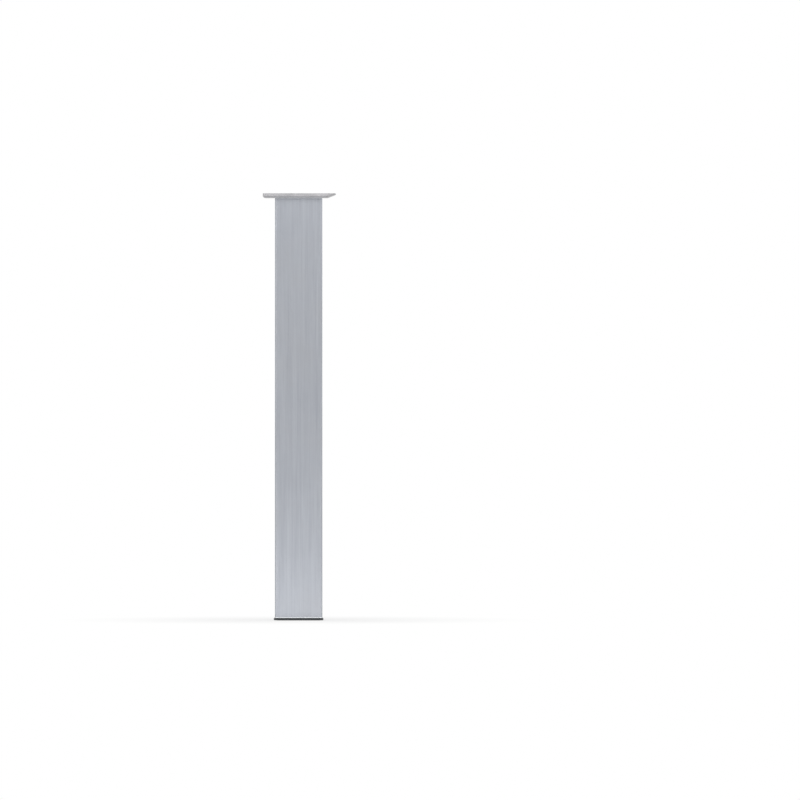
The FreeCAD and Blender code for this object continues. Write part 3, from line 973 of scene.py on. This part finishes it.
# %% Spindle
def spindle_mesh():
    tip = [[Vector((0, 0, spindle_high.z))],
           circle(m10_core - tip_chamfer, spindle_high.z),
           circle(m10_core, thread_end)]
    outline = [
        (m10_core, thread_start), (neck_radius, thread_start - 0.3 * mm),
        (neck_radius, collar_high + 0.4 * mm), (m10_core + 0.1 * mm, collar_high + 0.1 * mm),
        (m10_core + neck_round, collar_high), (collar_radius - collar_edge, collar_high),
        (collar_radius, collar_high - collar_edge), (collar_radius, collar_low + collar_edge),
        (collar_radius - collar_edge, collar_low), (m10_radius, collar_low),
        (m10_radius, groove_high + groove_edge), (m10_radius - groove_edge, groove_high),
        (groove_radius, groove_high), (groove_radius, groove_low),
        (m10_radius - groove_edge, groove_low), (m10_radius, groove_low - groove_edge),
        (m10_radius, spindle_low.z + journal_chamfer), (m10_radius - journal_chamfer, spindle_low.z),
    ]
    shank = [circle(radius, height) for radius, height in outline]
    shank += hexagon_socket(spindle_socket, spindle_socket_depth, spindle_low.z, 1)
    return skin_rings("foot_spindle", [tip, shank])


spindle = object_of("foot_spindle_dressed", spindle_mesh(), plated)
grow(spindle, thread, {"Core Radius": m10_core, "Depth": m10_depth, "Pitch": m10_pitch, "Low": thread_start,
     "High": thread_end, "Fade": m10_pitch, "Material": plated})
settle(spindle, "spindle", "plated_steel", "foot_spindle")
smooth(spindle.data)

# %% [markdown]
# ## The nut
# The nut is a slice of hexagon bar, chamfered by a cone on both faces, which cuts the curved edges on its
# six sides. Its inner thread has the spindle's form, a hair larger, and lies in step with it, so the two mesh
# at every height of the foot.

# %% Nut
nut_low, nut_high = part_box("foot_nut")
nut_width = nut_high.y - nut_low.y
nut_play = 0.05 * mm
nut_mouth = 5.2 * mm
nut_mouth_depth = 0.9 * mm
nut_face_share = 0.97


def nut_mesh():
    bore = m10_core + nut_play
    face_radius = nut_width / 2 * nut_face_share
    chamfer = chamfer_rise * (nut_width / 2 - face_radius)
    rings = [circle(bore, nut_low.z + nut_mouth_depth),
             circle(nut_mouth, nut_low.z),
             circle(face_radius, nut_low.z),
             hexagon(nut_width, nut_low.z + chamfer, nut_width / 2, chamfer_rise),
             hexagon(nut_width, nut_high.z - chamfer, nut_width / 2, -chamfer_rise),
             circle(face_radius, nut_high.z),
             circle(nut_mouth, nut_high.z),
             circle(bore, nut_high.z - nut_mouth_depth)]
    return skin_rings("foot_nut", [rings])


nut = object_of("foot_nut_dressed", nut_mesh(), plated)
grow(nut, thread, {"Core Radius": m10_core + nut_play, "Depth": m10_depth, "Pitch": m10_pitch,
     "Low": nut_low.z + nut_mouth_depth, "High": nut_high.z - nut_mouth_depth, "Fade": 0.5 * m10_pitch,
     "Material": plated})
settle(nut, "leg", "plated_steel", "foot_nut")
smooth(nut.data)

# %% [markdown]
# ## The pad
# The pad under the foot is a square slab with nine grooves and a round hole for the key. The tree sweeps the
# rounded square up a short line, and puts a groove cutter at each point of a line of points. One Boolean then
# takes the grooves and the hole out together. Each groove has round ends, as the mould's cutter leaves it.

# %% Grooved pad
pad_low, pad_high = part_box("foot_pad")
groove_count = 9
round_share = 0.49


def upright_bar(tree, width, length, corner, low, high):
    """Adds the nodes for a bar on a rounded rectangle, from one height to another."""
    outline = add(tree, "GeometryNodeCurvePrimitiveQuadrilateral", {"Width": width, "Height": length})
    rounded = add(tree, "GeometryNodeFilletCurve", {"Curve": outline, "Count": 8, "Radius": corner},
                  mode="POLY")
    ends = [add(tree, "ShaderNodeCombineXYZ", {"Z": height}) for height in (low, high)]
    axis = add(tree, "GeometryNodeCurvePrimitiveLine", {"Start": ends[0], "End": ends[1]})
    sweep = {"Curve": axis, "Profile Curve": rounded, "Fill Caps": True}
    return add(tree, "GeometryNodeCurveToMesh", sweep)


def grooved_pad_tree():
    inputs = "Width, Corner, Top, Border, Groove Width, Groove Depth, Hole Radius"
    tree, given = geometry_tree("grooved_pad", inputs)
    width, groove_width, groove_depth = (given[name] for name in ("Width", "Groove Width", "Groove Depth"))
    slab = upright_bar(tree, width, width, given["Corner"], 0.0, given["Top"])
    reach = add(tree, maths, (given["Border"], -2.0, width), operation="MULTIPLY_ADD")
    below = add(tree, maths, (groove_depth, -1.0), operation="MULTIPLY")
    round_end = add(tree, maths, (groove_width, round_share), operation="MULTIPLY")
    cutter = upright_bar(tree, reach, groove_width, round_end, below, groove_depth)
    first = add(tree, maths, (reach, -0.5), operation="MULTIPLY")
    spacing = add(tree, maths, (reach, groove_count - 1), operation="DIVIDE")
    start = add(tree, "ShaderNodeCombineXYZ", {"Y": first})
    step = add(tree, "ShaderNodeCombineXYZ", {"Y": spacing})
    row = {"Count": groove_count, "Start Location": start, "Offset": step}
    places = add(tree, "GeometryNodeMeshLine", row)
    grooves = add(tree, "GeometryNodeInstanceOnPoints", {"Points": places, "Instance": cutter})
    cutters = add(tree, "GeometryNodeRealizeInstances", {"Geometry": grooves})
    depth = add(tree, maths, (given["Top"], 4.0), operation="MULTIPLY")
    sizes = {"Vertices": 64, "Radius": given["Hole Radius"], "Depth": depth}
    hole = add(tree, "GeometryNodeMeshCylinder", sizes)
    meshes = {"Mesh 1": slab, "Mesh 2": [cutters, hole]}
    cut = add(tree, "GeometryNodeMeshBoolean", meshes, operation="DIFFERENCE", solver="EXACT")
    close_tree(tree, cut, given["Material"])
    return tree


pad = object_of("foot_pad_dressed", bpy.data.meshes.new("foot_pad_dressed"), rubber)
grow(pad, grooved_pad_tree(), {"Width": pad_high.x - pad_low.x, "Corner": 4.0 * mm, "Top": pad_high.z,
     "Border": 6.0 * mm, "Groove Width": 1.4 * mm, "Groove Depth": 0.5 * mm, "Hole Radius": 9.3 * mm,
     "Material": rubber})
settle(pad, "foot", "pad_rubber", "foot_pad")
smooth(pad.data)
